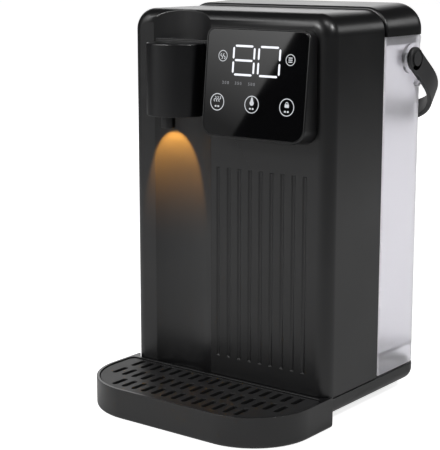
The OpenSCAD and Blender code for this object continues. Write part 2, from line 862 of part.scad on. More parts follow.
module inlet_socket() color([0.2, 0.2, 0.21]) on_valve() {
    tube(seam_z, socket_floor, socket_flange, pipe_bore);
    tube(socket_floor, socket_top, socket_r, valve_r + 2 * fit);
    tube(seam_z - wall - nipple / 2, seam_z, pipe_r, pipe_bore);
    translate([-pipe_r, -pin_r / 2, socket_floor - 1]) cube([2 * pipe_r, pin_r, 1]);
    tube(socket_floor, pin_top, pin_r, 0);
}

module socket_seal() color([0.15, 0.15, 0.15]) on_valve() tube(socket_floor, valve_z0, valve_r, valve_bore);

module inlet_hose() color([0.75, 0.76, 0.78]) run([
    [0, valve_y, seam_z - wall], [0, valve_y, hose_z], [0, pump_y, hose_z],
    [0, pump_y, pump_z], [pump_x, pump_y, pump_z]], hose_r, hose_bore, hose_bend);

module on_pump() { translate([0, pump_y, pump_z]) to_right() children(); }

module pump_body() color([0.2, 0.2, 0.21]) difference() {
    union() {
        on_pump() {
            tube(pump_x + hub, motor_x, pump_r, 0);
            tube(pump_x, pump_x + hub, pump_r / 2, 0);
            tube(pump_x - hose_bend + 1, pump_x, pipe_r, 0);
        }
        translate([pump_out_x, pump_y, pump_z + chamber_r])
            cylinder(r = shoulder_r, h = pump_top - pump_z - chamber_r);
        translate([pump_out_x, pump_y, pump_top]) cylinder(r = pipe_r, h = nipple);
    }
    on_pump() {
        tube(pump_x - hose_bend, chamber_x, pipe_bore, 0);
        tube(chamber_x, motor_x - pump_skin + 1, chamber_r, 0);
        tube(motor_x - pump_skin, motor_x + over, shaft_r + press, 0);
    }
    translate([pump_out_x, pump_y, pump_z + chamber_r - 2]) cylinder(r = pipe_bore, h = pump_r);
}

module pump_impeller() color([0.85, 0.85, 0.85]) {
    on_pump() {
        z0 = chamber_x + 1;
        tube(z0 + vane_h, z0 + vane_h + vane_t, impeller_r, 0);
        tube(z0, z0 + vane_h, 2 * shaft_r, 0);
        tube(z0 + vane_h + vane_t, motor_x + shaft_in, shaft_r, 0);
        for (i = [0 : 5]) rotate(i * 60) translate([shaft_r, -vane_t / 2, z0])
            cube([impeller_r - shaft_r - 1, vane_t, vane_h]);
    }
}

module pump_motor() color([0.55, 0.56, 0.58]) on_pump() {
    tube(motor_x, motor_x + shaft_in + 1, motor_r, shaft_r + press);
    tube(motor_x + shaft_in + 1, motor_end, motor_r, 0);
    tube(motor_end, motor_end + hub, motor_r / 3, 0);
}

module pump_mount() color([0.12, 0.12, 0.12]) difference() {
    translate([motor_x + cradle_in, pump_y - motor_r, seam_z])
        cube([motor_l - 2 * cradle_in, 2 * motor_r, pump_up - cradle_in]);
    on_pump() tube(motor_x, motor_end, motor_r, 0);
    translate([motor_x + 2 * cradle_in, pump_y - motor_r - over, seam_z - over])
        cube([motor_l - 4 * cradle_in, 2 * motor_r + 2 * over, cradle_arch + over]);
}

module pump_hose() color([0.75, 0.76, 0.78]) run([
    [pump_out_x, pump_y, pump_top], [pump_out_x, pump_y, heater_z - cap_h]], hose_r, hose_bore, hose_bend);

// Heater with its clamps, cut-outs and sensor

module on_heater() { translate([heater_x, pump_y, 0]) children(); }

module heater() color([0.7, 0.71, 0.72]) on_heater() difference() {
    union() {
        tube(heater_z, heater_z + heater_h, heater_r, 0);
        for (z = [heater_z - cap_h, heater_z + heater_h]) tube(z, z + cap_h, heater_r + cap_out, 0);
        tube(heater_z - cap_h - nipple, heater_z - cap_h, pipe_r, 0);
        tube(heater_z + heater_h + cap_h, heater_z + heater_h + cap_h + nipple, pipe_r, 0);
        translate([-cutout_r - cap_out, -heater_r - pad_out, pad_z])
            cube([2 * (cutout_r + cap_out), heater_r / 2, pad_h]);
    }
    tube(heater_z - cap_h - nipple - over, heater_z + heater_h + cap_h + nipple + over, pipe_bore, 0);
}

module heater_bracket() color([0.6, 0.6, 0.62]) on_heater() for (z = clamp_zs) {
    tube(z, z + clamp_w, heater_r + clamp_t, heater_r);
    difference() {
        translate([-clamp_foot / 2, heater_r, z]) cube([clamp_foot, bulk_y - pump_y - heater_r, clamp_w]);
        tube(z - over, z + clamp_w + over, heater_r + clamp_t / 2, 0);
        translate([clamp_t - clamp_foot / 2, heater_r, z - over])
            cube([clamp_foot - 2 * clamp_t, bulk_y - pump_y - heater_r - clamp_t, clamp_w + 2 * over]);
    }
}

module thermal_cutouts() color([0.1, 0.1, 0.1]) on_heater()
    for (z = [cutout_z, cutout_z + 2 * cutout_r + pad_out])
        translate([0, -heater_r - pad_out, z]) rotate([90, 0, 0]) {
            cylinder(r = cutout_r, h = cutout_t);
            translate([0, 0, cutout_t]) cylinder(r = cutout_r - pad_out, h = cutout_t);
        }

module temperature_sensor() color([0.8, 0.8, 0.8])
    translate([heater_x + heater_r / 2, pump_y, heater_z + heater_h + cap_h]) {
        cylinder(r = sensor_r, h = sensor_h / 4, $fn = 6);
        translate([0, 0, sensor_h / 4]) cylinder(r = sensor_r * 0.6, h = sensor_h * 3 / 4);
    }

module outlet_hose() color([0.75, 0.76, 0.78]) run([
    [heater_x, pump_y, heater_z + heater_h + cap_h], [heater_x, pump_y, spout_z],
    [drum_x, pump_y, spout_z], [drum_x, shoulder_y, spout_z]], hose_r, hose_bore, hose_bend);

// Spout

module drum_space(inset) {
    intersection() {
        translate([drum_x, drum_y, drum_z0]) rotate_extrude() lip(drum_r - inset, drum_h - inset, drum_edge);
        cove(cove_r - inset);
    }
}

module spout_drum() color([0.05, 0.05, 0.055]) difference() {
    union() {
        difference() {
            drum_space(0);
            drum_space(drum_wall);
        }
        intersection() {
            cove(cove_r);
            translate([cove_x - cove_half + shelf_side, 0, drum_z1 - drum_wall])
                cube([2 * (cove_half - shelf_side), cove_depth + over, drum_wall + shelf_up]);
        }
        translate([drum_x, socket_y, spout_z]) to_back() {
            cylinder(r = shoulder_r, h = shoulder_y - socket_y);
            cylinder(r = pipe_r, h = shoulder_y - socket_y + nipple);
        }
    }
    translate([drum_x, socket_y - over, spout_z]) to_back() cylinder(r = pipe_bore, h = shoulder_y + nipple);
}

module spout_floor() color([0.05, 0.05, 0.055]) difference() {
    intersection() {
        translate([drum_x, drum_y, drum_z0]) cylinder(r = drum_r - drum_wall - press, h = drum_wall);
        cove(cove_r - drum_wall - press);
    }
    translate([drum_x, nozzle_y, drum_z0 - over]) cylinder(r = nozzle_r + press, h = drum_wall + 2 * over);
    translate([lens_x, lens_y, drum_z0 - over]) cylinder(r = lens_r + press, h = drum_wall + 2 * over);
}

module spout_pipe() color([0.75, 0.76, 0.78]) run([
    [drum_x, socket_y, spout_z], [drum_x, nozzle_y, spout_z], [drum_x, nozzle_y, drum_z0 + 2 * drum_wall]],
    pipe_r + 1, pipe_bore, spout_bend);

module spout_nozzle() color([0.05, 0.05, 0.055]) translate([drum_x, nozzle_y, 0]) {
    tube(nozzle_z0, drum_z0 + drum_wall, nozzle_r, pipe_r);
    tube(drum_z0 + drum_wall, drum_z0 + 2 * drum_wall, nozzle_r + drum_wall, pipe_r);
}

module spout_lens() color([0.95, 0.6, 0.15]) translate([lens_x, lens_y, 0]) {
    tube(drum_z0, drum_z0 + drum_wall, lens_r, 0);
    tube(drum_z0 + drum_wall, drum_z0 + 2 * drum_wall, lens_r + 1, 0);
}

// Control head: Y runs up its sloping face from the lower edge, Z stands out of the face

module head_frame() { translate([head_x, -head_out, head_z0]) rotate([90 - head_tilt, 0, 0]) children(); }

module head_form() {
    intersection() {
        head_frame() translate([0, 0, -head_deep])
            soft_block(head_w, head_h, head_deep, head_low_r, head_top_r, head_edge);
        translate([-body_w / 2, -body_d, 0]) cube([body_w, body_d, body_h]);
    }
}

// The head's face drawn in by inset
module glass_outline(inset) {
    translate([0, inset])
        plate(head_w - 2 * inset, head_h - 2 * inset, head_low_r - inset, head_top_r - inset);
}

module control_head() color([0.06, 0.06, 0.065]) difference() {
    union() {
        difference() {
            head_form();
            head_frame() translate([head_wall - head_w / 2, head_rim, -head_deep])
                cube([head_w - 2 * head_wall, head_h - 2 * head_rim, head_deep - panel_back]);
        }
        intersection() {
            head_form();
            at_head_screws() translate([0, -head_out, 0]) to_back() cylinder(r = head_post_r, h = head_out);
        }
    }
    head_frame() translate([0, 0, -glass_t]) linear_extrude(glass_t + over)
        glass_outline(glass_in - press);
    head_frame() translate([-module_w / 2, module_up, -panel_back - over])
        cube([module_w, module_h, panel_back + over]);
    at_head_screws() translate([0, -head_bite, 0]) to_back()
        cylinder(r = screw_r - press, h = head_bite + over);
}

module control_glass() color([0.01, 0.01, 0.012]) head_frame() translate([0, 0, -glass_t])
    linear_extrude(glass_t) glass_outline(glass_in);

module display_board() color([0.05, 0.25, 0.12]) head_frame() {
    translate([-board_w / 2, glass_h / 4, -panel_back - board_t]) cube([board_w, glass_h * 0.7, board_t]);
    translate([fit - module_w / 2, module_up + fit, -panel_back])
        cube([module_w - 2 * fit, module_h - 2 * fit, panel_back - glass_t - fit]);
}

// Power board and wiring

// A block on the board's front: its middle across and up as shares of the board, and its size
module on_card(across, up, size) {
    translate([card_x + (across - 0.5) * card_w - size[0] / 2, card_y - board_t - size[1],
        card_z + up * card_h - size[2] / 2]) cube(size);
}

module power_board() color([0.05, 0.25, 0.12]) {
    translate([card_x - card_w / 2, card_y - board_t, card_z]) cube([card_w, board_t, card_h]);
    on_card(0.4, 0.2, [card_block, card_block, card_block]);
    on_card(0.3, 0.5, [card_block * 0.7, card_block * 0.6, card_block]);
    translate([card_x + card_w / 4, card_y - board_t, card_z + card_h / 2]) rotate([90, 0, 0])
        cylinder(r = plug, h = 3 * plug);
    for (i = [0 : 4]) on_card(0.15 + i * 0.09, 0.8, [card_fin, card_block * 0.8, card_block]);
    on_card(0.33, 0.8, [card_w * 0.4, card_fin, card_block]);
    on_card(plug_at, 0.9, [plug, plug, 2 * plug]);
    on_card(plug_at, 0.3, [plug, plug, 2 * plug]);
}

module wiring() color([0.7, 0.1, 0.08]) {
    plug_x = card_x + (plug_at - 0.5) * card_w;
    plug_y = card_y - board_t - plug / 2;
    high_plug = card_z + 0.9 * card_h;
    low_plug = card_z + 0.3 * card_h;
    lane_x = heater_x - heater_r - 2 * cap_out - wire_bend;
    run([[plug_x, plug_y, high_plug + plug], [plug_x, plug_y, wire_z],
        [wire_x, plug_y, wire_z], [wire_x, -wire_r, wire_z]], wire_r, 0, wire_bend);
    run([[plug_x + plug / 2, plug_y, low_plug], [lane_x, plug_y, low_plug],
        [lane_x, cutout_y, low_plug], [lane_x, cutout_y, cutout_z],
        [heater_x - cutout_r, cutout_y, cutout_z]], wire_r, 0, wire_bend);
    run([[plug_x, plug_y, low_plug - plug], [plug_x, plug_y, card_z - wire_bend],
        [motor_end + plug, plug_y, card_z - wire_bend], [motor_end + plug, pump_y, card_z - wire_bend],
        [motor_end + plug, pump_y, pump_z + plug], [motor_end, pump_y, pump_z + plug]], wire_r, 0, wire_bend);
}

// Drawing
module at_front() { translate([0, front_y, 0]) children(); }

at_front() {
    front_housing();
    bulkhead();
    base();
    base_cover();
    feet();
    drip_tray();
    drip_grid();
    water_tank();
    tank_lid();
    tank_handle();
    handle_pivots();
    tank_valve_body();
    valve_nut();
    valve_cage();
    valve_poppet();
    valve_seal();
    valve_spring();
    inlet_socket();
    socket_seal();
    inlet_hose();
    pump_body();
    pump_impeller();
    pump_motor();
    pump_mount();
    pump_hose();
    heater();
    heater_bracket();
    thermal_cutouts();
    temperature_sensor();
    outlet_hose();
    spout_drum();
    spout_floor();
    spout_pipe();
    spout_nozzle();
    spout_lens();
    control_head();
    control_glass();
    display_board();
    power_board();
    wiring();
    cord_gland();
    housing_screws();
    base_screws();
    cover_screws();
    head_screws();
}
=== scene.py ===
import math

import bpy
from mathutils import Matrix, Vector


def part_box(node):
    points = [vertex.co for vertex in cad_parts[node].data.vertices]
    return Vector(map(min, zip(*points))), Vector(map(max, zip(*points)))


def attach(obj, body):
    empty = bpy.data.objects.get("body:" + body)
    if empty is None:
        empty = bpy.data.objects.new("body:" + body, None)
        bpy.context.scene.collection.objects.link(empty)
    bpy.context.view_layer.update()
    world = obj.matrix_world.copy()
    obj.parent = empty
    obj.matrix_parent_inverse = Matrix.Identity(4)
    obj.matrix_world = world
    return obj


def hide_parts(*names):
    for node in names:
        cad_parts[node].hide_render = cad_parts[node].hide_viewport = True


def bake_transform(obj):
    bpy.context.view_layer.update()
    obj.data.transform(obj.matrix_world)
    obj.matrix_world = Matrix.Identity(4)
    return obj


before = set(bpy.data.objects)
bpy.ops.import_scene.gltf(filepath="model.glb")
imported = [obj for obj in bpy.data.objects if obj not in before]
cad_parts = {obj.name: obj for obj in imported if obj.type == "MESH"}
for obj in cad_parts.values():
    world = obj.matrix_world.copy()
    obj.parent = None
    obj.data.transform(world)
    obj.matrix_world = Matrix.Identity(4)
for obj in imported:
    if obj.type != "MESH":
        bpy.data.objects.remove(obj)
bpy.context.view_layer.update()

# Base: the low black foot moulding under housing and tank, with cover, rubber feet and cord gland.
# Injection-moulded ABS with a fine spark texture; the cover is screwed on from below.
# The four feet are pressed into the cover.


def tint(code):
    """Linear colour of an sRGB hex value."""
    parts = [int(code[i:i + 2], 16) / 255 for i in (1, 3, 5)]
    return [p / 12.92 if p <= 0.04045 else ((p + 0.055) / 1.055) ** 2.4 for p in parts] + [1.0]


def add(tree, kind, settings=(), links=()):
    """Adds a node: settings with a capital are sockets, others properties, and links go to sockets."""
    made = tree.nodes.new(kind)
    for name, value in dict(settings).items():
        if name[0].isupper():
            made.inputs[name].default_value = value
        else:
            setattr(made, name, value)
    for name, source in dict(links).items():
        tree.links.new(source, made.inputs[name])
    return made


def new_material(name):
    """An empty node material and its tree."""
    made = bpy.data.materials.new(name)
    made.use_nodes = True
    made.node_tree.nodes.clear()
    return made, made.node_tree


def moulded_plastic(name, colour, roughness, grain_mm, grain_depth):
    """Moulded plastic: one colour all through, a fine tool texture and slow changes of gloss."""
    rub_mm, gloss_change, grain_height = 45, 0.03, 0.00005
    made, tree = new_material(name)
    place = add(tree, "ShaderNodeTexCoord").outputs["Object"]
    grain = add(tree, "ShaderNodeTexNoise", {"Scale": 1000 / grain_mm, "Detail": 2.0}, {"Vector": place})
    rub = add(tree, "ShaderNodeTexNoise", {"Scale": 1000 / rub_mm, "Detail": 3.0}, {"Vector": place})
    gloss = add(tree, "ShaderNodeMapRange",
                {"From Min": 0.3, "From Max": 0.7,
                 "To Min": roughness - gloss_change, "To Max": roughness + gloss_change},
                {"Value": rub.outputs["Fac"]})
    relief = add(tree, "ShaderNodeBump", {"Strength": grain_depth, "Distance": grain_height},
                 {"Height": grain.outputs["Fac"]})
    skin = add(tree, "ShaderNodeBsdfPrincipled",
               {"Base Color": tint(colour), "IOR": 1.52},
               {"Roughness": gloss.outputs["Result"], "Normal": relief.outputs["Normal"]})
    add(tree, "ShaderNodeOutputMaterial", links={"Surface": skin.outputs["BSDF"]})
    return made


def dress(material, *nodes):
    """Gives CAD nodes a material."""
    for name in nodes:
        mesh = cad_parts[name].data
        mesh.materials.clear()
        mesh.materials.append(material)


def take(piece):
    """Makes a piece the only one selected."""
    bpy.ops.object.select_all(action="DESELECT")
    piece.select_set(True)
    bpy.context.view_layer.objects.active = piece


def round_edges(piece, width, where=None, steps=3, least=35):
    """Rounds the edges of a piece that are sharper than an angle and pass a test."""
    take(piece)
    bpy.ops.object.mode_set(mode="EDIT")
    bpy.ops.mesh.select_mode(type="EDGE")
    bpy.ops.mesh.select_all(action="DESELECT")
    bpy.ops.mesh.edges_select_sharp(sharpness=math.radians(least))
    if where:
        bpy.ops.object.mode_set(mode="OBJECT")
        places = [vertex.co for vertex in piece.data.vertices]
        chosen = [edge.index for edge in piece.data.edges
                  if edge.select and all(where(places[i]) for i in edge.vertices)]
        bpy.ops.object.mode_set(mode="EDIT")
        bpy.ops.mesh.select_all(action="DESELECT")
        bpy.ops.object.mode_set(mode="OBJECT")
        for index in chosen:
            piece.data.edges[index].select = True
        bpy.ops.object.mode_set(mode="EDIT")
    bpy.ops.mesh.bevel(offset=width, segments=steps, affect="EDGES", clamp_overlap=False)
    bpy.ops.object.mode_set(mode="OBJECT")


def shade(piece):
    """Shades a piece smoothly over its roundings and keeps its flat faces flat."""
    take(piece)
    bpy.ops.object.shade_smooth_by_angle(angle=math.radians(40))
    weighted = piece.modifiers.new("flat_faces_first", "WEIGHTED_NORMAL")
    weighted.keep_sharp = True
    bpy.ops.object.modifier_apply(modifier=weighted.name)


def finish_piece(piece, material, body):
    """Gives a new piece its material and the body it moves with."""
    piece.data.materials.clear()
    piece.data.materials.append(material)
    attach(piece, body)


def copy_of(node):
    """A copy of a CAD node with its triangles merged into whole faces, to be finished further."""
    piece = bpy.data.objects.new("soft_" + node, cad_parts[node].data.copy())
    bpy.context.scene.collection.objects.link(piece)
    take(piece)
    bpy.ops.mesh.customdata_custom_splitnormals_clear()
    bpy.ops.object.mode_set(mode="EDIT")
    bpy.ops.mesh.select_all(action="SELECT")
    bpy.ops.mesh.remove_doubles(threshold=0.00002)
    bpy.ops.mesh.dissolve_limited(angle_limit=math.radians(0.3))
    bpy.ops.object.mode_set(mode="OBJECT")
    return piece


def soften(node, material, body, width, where=None):
    """Stands for a CAD node with its sharp edges rounded as the mould rounds them."""
    piece = copy_of(node)
    round_edges(piece, width, where)
    shade(piece)
    finish_piece(piece, material, body)
    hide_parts(node)


# Satin ABS: a 0.4 mm tool grain, drawn coarser than the real 0.1 mm so that it can show at all.
satin_abs = moulded_plastic("satin_black_abs", "#101011",
                            roughness=0.32, grain_mm=0.4, grain_depth=0.08)
# Plain polypropylene of the hidden mouldings: duller, with a coarser texture.
plain_pp = moulded_plastic("plain_black_polypropylene", "#141415",
                           roughness=0.5, grain_mm=0.6, grain_depth=0.15)
# Nitrile rubber of feet, seals and gland: nearly matt.
nitrile = moulded_plastic("matt_nitrile_rubber", "#121212",
                          roughness=0.72, grain_mm=0.5, grain_depth=0.2)
base_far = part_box("base")[1]
seam_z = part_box("front_housing")[0].z
seam_below, seam_above, outer_skin = 0.002, 0.0003, 0.004


def on_seam(place):
    """Whether a place is on the base's outer upper edge, where housing and tank meet it."""
    level = seam_z - seam_below < place.z < seam_z + seam_above
    return level and (abs(place.x) > base_far.x - outer_skin or place.y > base_far.y - outer_skin)


soften("base", satin_abs, "stand", width=0.0005, where=on_seam)
dress(plain_pp, "base_cover")
dress(nitrile, "feet", "cord_gland")

# Housing: the tall black front shell with its cove and flutes, and the bulkhead that closes its back.
# One ABS moulding on the base, screwed from behind.

soften("front_housing", satin_abs, "stand", width=0.0006)
dress(plain_pp, "bulkhead")

# Works inside: pump, heater, hoses, boards, wiring and screws behind the housing, and the tank's valve.
# Moulded, cast and bought-in pieces; valve, socket and some screws show once the tank is lifted off.

# Silicone of the hoses: milky, with a satin skin.
silicone = moulded_plastic("milky_silicone_hose", "#c9cccf",
                           roughness=0.45, grain_mm=0.8, grain_depth=0.05)
# Acetal of valve and impeller: white, with a soft sheen.
acetal = moulded_plastic("natural_white_acetal", "#d9d8d2",
                         roughness=0.4, grain_mm=0.5, grain_depth=0.05)
# Lacquer of the circuit boards: green, with a smooth sheen.
board_green = moulded_plastic("green_board_lacquer", "#17502f",
                              roughness=0.35, grain_mm=1.2, grain_depth=0.1)
# Sleeves of the leads: red and fairly dull.
red_sleeve = moulded_plastic("red_wire_sleeve", "#9c1d16",
                             roughness=0.5, grain_mm=0.5, grain_depth=0.05)


def plain_metal(name, colour, roughness, brush_mm):
    """Worked metal with fine uneven gloss."""
    gloss_change = 0.08
    made, tree = new_material(name)
    place = add(tree, "ShaderNodeTexCoord").outputs["Object"]
    streak = add(tree, "ShaderNodeTexNoise", {"Scale": 1000 / brush_mm, "Detail": 3.0}, {"Vector": place})
    gloss = add(tree, "ShaderNodeMapRange",
                {"To Min": roughness - gloss_change, "To Max": roughness + gloss_change},
                {"Value": streak.outputs["Fac"]})
    skin = add(tree, "ShaderNodeBsdfPrincipled", {"Base Color": tint(colour), "Metallic": 1.0},
               {"Roughness": gloss.outputs["Result"]})
    add(tree, "ShaderNodeOutputMaterial", links={"Surface": skin.outputs["BSDF"]})
    return made


# Zinc plating looks bright and finely streaked, cast aluminium dull and coarser.
plated_steel = plain_metal("zinc_plated_steel", "#b9bbbf", roughness=0.32, brush_mm=0.6)
cast_aluminium = plain_metal("cast_aluminium", "#b4b6b8", roughness=0.5, brush_mm=1.0)
dress(silicone, "inlet_hose", "pump_hose", "outlet_hose", "spout_pipe")
dress(acetal, "pump_impeller", "tank_valve_body", "valve_cage", "valve_poppet")
dress(plain_pp, "pump_body", "thermal_cutouts", "inlet_socket", "valve_nut", "spout_floor")
dress(nitrile, "pump_mount", "valve_seal", "socket_seal")
dress(board_green, "display_board", "power_board")
dress(red_sleeve, "wiring")
dress(cast_aluminium, "heater")
dress(plated_steel, "pump_motor", "heater_bracket", "temperature_sensor",
      "housing_screws", "base_screws", "cover_screws", "head_screws")

# Spout: an upright drum set into the cove, with the nozzle and an amber lamp in its floor.
# Black ABS shell, smoother than the housing; the nozzle is pressed in; the lens is clear amber acrylic.

# Gloss ABS: smoother tool faces with less grain. Its colour is painted darker than the housing's black, as
# painted shade for the drum and nozzle in the cove's shadow.
gloss_abs_painted_shade = moulded_plastic("gloss_black_abs_painted_shade", "#08080a",
                            roughness=0.3, grain_mm=0.4, grain_depth=0.03)
soften("spout_drum", gloss_abs_painted_shade, "stand", width=0.0004)
soften("spout_nozzle", gloss_abs_painted_shade, "stand", width=0.0005)
# Amber acrylic lit from behind: the whole lens glows.
lamp_amber, tree = new_material("lit_amber_acrylic")
skin = add(tree, "ShaderNodeBsdfPrincipled",
           {"Base Color": tint("#f0a030"), "Roughness": 0.2, "IOR": 1.49,
            "Emission Color": tint("#ff9a20"), "Emission Strength": 4.0})
add(tree, "ShaderNodeOutputMaterial", links={"Surface": skin.outputs["BSDF"]})
dress(lamp_amber, "spout_lens")

# Control head: a wedge-shaped block on the wall with a black glass in its leaning face.
# ABS block screwed on from inside; the glass is float glass printed black on its back, bedded flush.

soften("control_head", satin_abs, "stand", width=0.0009)


def pick(piece, test):
    """Leaves a piece in edit mode with just the vertices selected whose place passes a test."""
    bpy.ops.object.mode_set(mode="EDIT")
    bpy.ops.mesh.select_mode(type="VERT")
    bpy.ops.mesh.select_all(action="DESELECT")
    bpy.ops.object.mode_set(mode="OBJECT")
    for vertex in piece.data.vertices:
        vertex.select = test(vertex.co)
    bpy.ops.object.mode_set(mode="EDIT")


def rounded_block(name, low, high, near_r, far_r, steps=12):
    """A block between two corners whose upright edges are rounded at its near and its far end."""
    bpy.ops.object.select_all(action="DESELECT")
    bpy.ops.mesh.primitive_plane_add(size=1.0)
    piece = bpy.context.object
    piece.name = name
    size = Vector(high) - Vector(low)
    bpy.ops.object.mode_set(mode="EDIT")
    bpy.ops.transform.resize(value=(size.x, size.y, 1.0))
    bpy.ops.transform.translate(value=(low[0] + size.x / 2, low[1] + size.y / 2, low[2]))
    middle = low[1] + size.y / 2
    for radius, near in ((near_r, True), (far_r, False)):
        pick(piece, lambda place: (place.y < middle) == near)
        bpy.ops.mesh.bevel(affect="VERTICES", offset=radius, segments=steps)
    bpy.ops.mesh.select_all(action="SELECT")
    bpy.ops.mesh.extrude_region_move(TRANSFORM_OT_translate={"value": (0, 0, size.z)})
    bpy.ops.mesh.select_all(action="SELECT")
    bpy.ops.mesh.normals_make_consistent(inside=False)
    bpy.ops.object.mode_set(mode="OBJECT")
    return piece


face_tilt = math.radians(6.0)
glass_thick, glass_low_r, glass_high_r = 0.0014, 0.0086, 0.0056
glass_low, glass_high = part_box("control_glass")
glass_half = (glass_high.x - glass_low.x) / 2
face_middle = (glass_low.x + glass_high.x) / 2
face_foot = Vector((face_middle, glass_low.y, glass_low.z + glass_thick * math.sin(face_tilt)))
on_face = Matrix.Translation(face_foot) @ Matrix.Rotation(math.pi / 2 - face_tilt, 4, "X")


def face_up(z):
    """Way up the slope to a height above the table."""
    return (z - face_foot.z) / math.cos(face_tilt)


def set_on_face(piece):
    """Moves a piece drawn flat, X across and Y up the slope, on to the head's leaning face."""
    take(piece)
    piece.matrix_world = on_face
    bpy.ops.object.transform_apply(location=True, rotation=True, scale=True)


panel_glass = rounded_block("panel_glass", (-glass_half, 0, -glass_thick),
                            (glass_half, face_up(glass_high.z), 0), glass_low_r, glass_high_r)
set_on_face(panel_glass)
round_edges(panel_glass, width=0.0004)
shade(panel_glass)
# Float glass with black print behind: a clean mirror at a glance, with a faint film of finger marks.
finger_mm = 30
black_glass, tree = new_material("back_printed_float_glass")
place = add(tree, "ShaderNodeTexCoord").outputs["Object"]
film = add(tree, "ShaderNodeTexNoise", {"Scale": 1000 / finger_mm, "Detail": 2.0}, {"Vector": place})
gloss = add(tree, "ShaderNodeMapRange", {"To Min": 0.015, "To Max": 0.05}, {"Value": film.outputs["Fac"]})
skin = add(tree, "ShaderNodeBsdfPrincipled", {"Base Color": tint("#040405"), "IOR": 1.52},
           {"Roughness": gloss.outputs["Result"]})
add(tree, "ShaderNodeOutputMaterial", links={"Surface": skin.outputs["BSDF"]})
finish_piece(panel_glass, black_glass, "stand")
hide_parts("control_glass")

# Display and touch marks: lit digits and printed signs in the black glass.
# White diodes shine through gaps in the black print; drawn as thin lit films on the glass.

film_thick = 0.00005


def lit(name, colour, strength):
    """A lit gap in the print, a little uneven as light from a diode is."""
    diode_mm, uneven = 4, 0.15
    made, tree = new_material(name)
    place = add(tree, "ShaderNodeTexCoord").outputs["Object"]
    spread = add(tree, "ShaderNodeTexNoise", {"Scale": 1000 / diode_mm, "Detail": 1.0}, {"Vector": place})
    level = add(tree, "ShaderNodeMapRange",
                {"To Min": strength * (1 - uneven), "To Max": strength * (1 + uneven)},
                {"Value": spread.outputs["Fac"]})
    skin = add(tree, "ShaderNodeBsdfPrincipled",
               {"Base Color": tint("#202022"), "Roughness": 0.3, "Emission Color": tint(colour)},
               {"Emission Strength": level.outputs["Result"]})
    add(tree, "ShaderNodeOutputMaterial", links={"Surface": skin.outputs["BSDF"]})
    return made


# Diode light through the print: bright digits, softer signs and faint small numbers.
lit_digits = lit("diode_white_digits", "#f6f8ff", strength=1.1)
lit_marks = lit("diode_white_marks", "#e8ebf0", strength=0.75)
lit_faint = lit("printed_grey_marks", "#d8dae0", strength=0.35)


def copy_to(piece, name, across, up, turn=0.0):
    """A copy of a flat piece, with its own mesh, turned and moved on the face."""
    made = piece.copy()
    made.data = piece.data.copy()
    made.name = name
    bpy.context.scene.collection.objects.link(made)
    made.matrix_world = Matrix.Translation((across, up, 0)) @ Matrix.Rotation(turn, 4, "Z")
    take(made)
    bpy.ops.object.transform_apply(location=True, rotation=True, scale=True)
    return made


def join(name, pieces):
    """Joins pieces into the first of them."""
    take(pieces[0])
    for piece in pieces[1:]:
        piece.select_set(True)
    bpy.ops.object.join()
    pieces[0].name = name
    return pieces[0]


def bar(name, length, width):
    """One flat bar with pointed ends, lying along X with its middle at the origin."""
    point = width * 0.45
    return rounded_block(name, (-length / 2, -width / 2, 0), (length / 2, width / 2, film_thick),
                         point, point, steps=1)


digit_h, digit_w, bar_w, bar_gap = 0.0217, 0.0195, 0.0015, 0.0009
level_bar = bar("level_bar", digit_w - 2 * bar_w - bar_gap, bar_w)
upright_bar = bar("upright_bar", digit_h / 2 - bar_w / 2 - 2 * bar_gap, bar_w)
side_x = (digit_w - bar_w) / 2
row_ys = [-(digit_h - bar_w) / 2, 0.0, (digit_h - bar_w) / 2]
upright_ys = [-(digit_h - bar_w) / 4, (digit_h - bar_w) / 4]
# An eight has all three level bars, a nought only the outer two.
digit_up, digit_xs = face_up(0.26225), (0.0236, 0.0455)
digit_rows = (row_ys, (row_ys[0], row_ys[2]))
display = []
for digit, (digit_x, rows) in enumerate(zip(digit_xs, digit_rows)):
    across = digit_x - face_middle
    for row, y in enumerate(rows):
        display.append(copy_to(level_bar, "digit_%d_row_%d" % (digit, row), across, digit_up + y))
    for side in (-1, 1):
        for y in upright_ys:
            display.append(copy_to(upright_bar, "digit_%d_side" % digit,
                                   across + side * side_x, digit_up + y, math.pi / 2))
for spent in (level_bar, upright_bar):
    bpy.data.objects.remove(spent)
display_digits = join("display_digits", display)
set_on_face(display_digits)
finish_piece(display_digits, lit_digits, "stand")


def ring(name, outer, stroke):
    """A flat ring about the origin."""
    sides = 64
    bpy.ops.object.select_all(action="DESELECT")
    bpy.ops.mesh.primitive_circle_add(vertices=sides, radius=outer, fill_type="NGON")
    piece = bpy.context.object
    piece.name = name
    bpy.ops.object.mode_set(mode="EDIT")
    bpy.ops.mesh.select_mode(type="FACE")
    bpy.ops.mesh.inset(thickness=stroke)
    bpy.ops.mesh.delete(type="FACE")
    bpy.ops.mesh.select_all(action="SELECT")
    bpy.ops.mesh.extrude_region_move(TRANSFORM_OT_translate={"value": (0, 0, film_thick)})
    bpy.ops.mesh.select_all(action="SELECT")
    bpy.ops.mesh.normals_make_consistent(inside=False)
    bpy.ops.object.mode_set(mode="OBJECT")
    return piece


def half_ring(name, outer, stroke):
    """The upper half of a flat ring."""
    piece = ring(name, outer, stroke)
    take(piece)
    bpy.ops.object.mode_set(mode="EDIT")
    bpy.ops.mesh.select_all(action="SELECT")
    bpy.ops.mesh.bisect(plane_co=(0, 0, 0), plane_no=(0, 1, 0), clear_inner=True, use_fill=True)
    bpy.ops.object.mode_set(mode="OBJECT")
    return piece


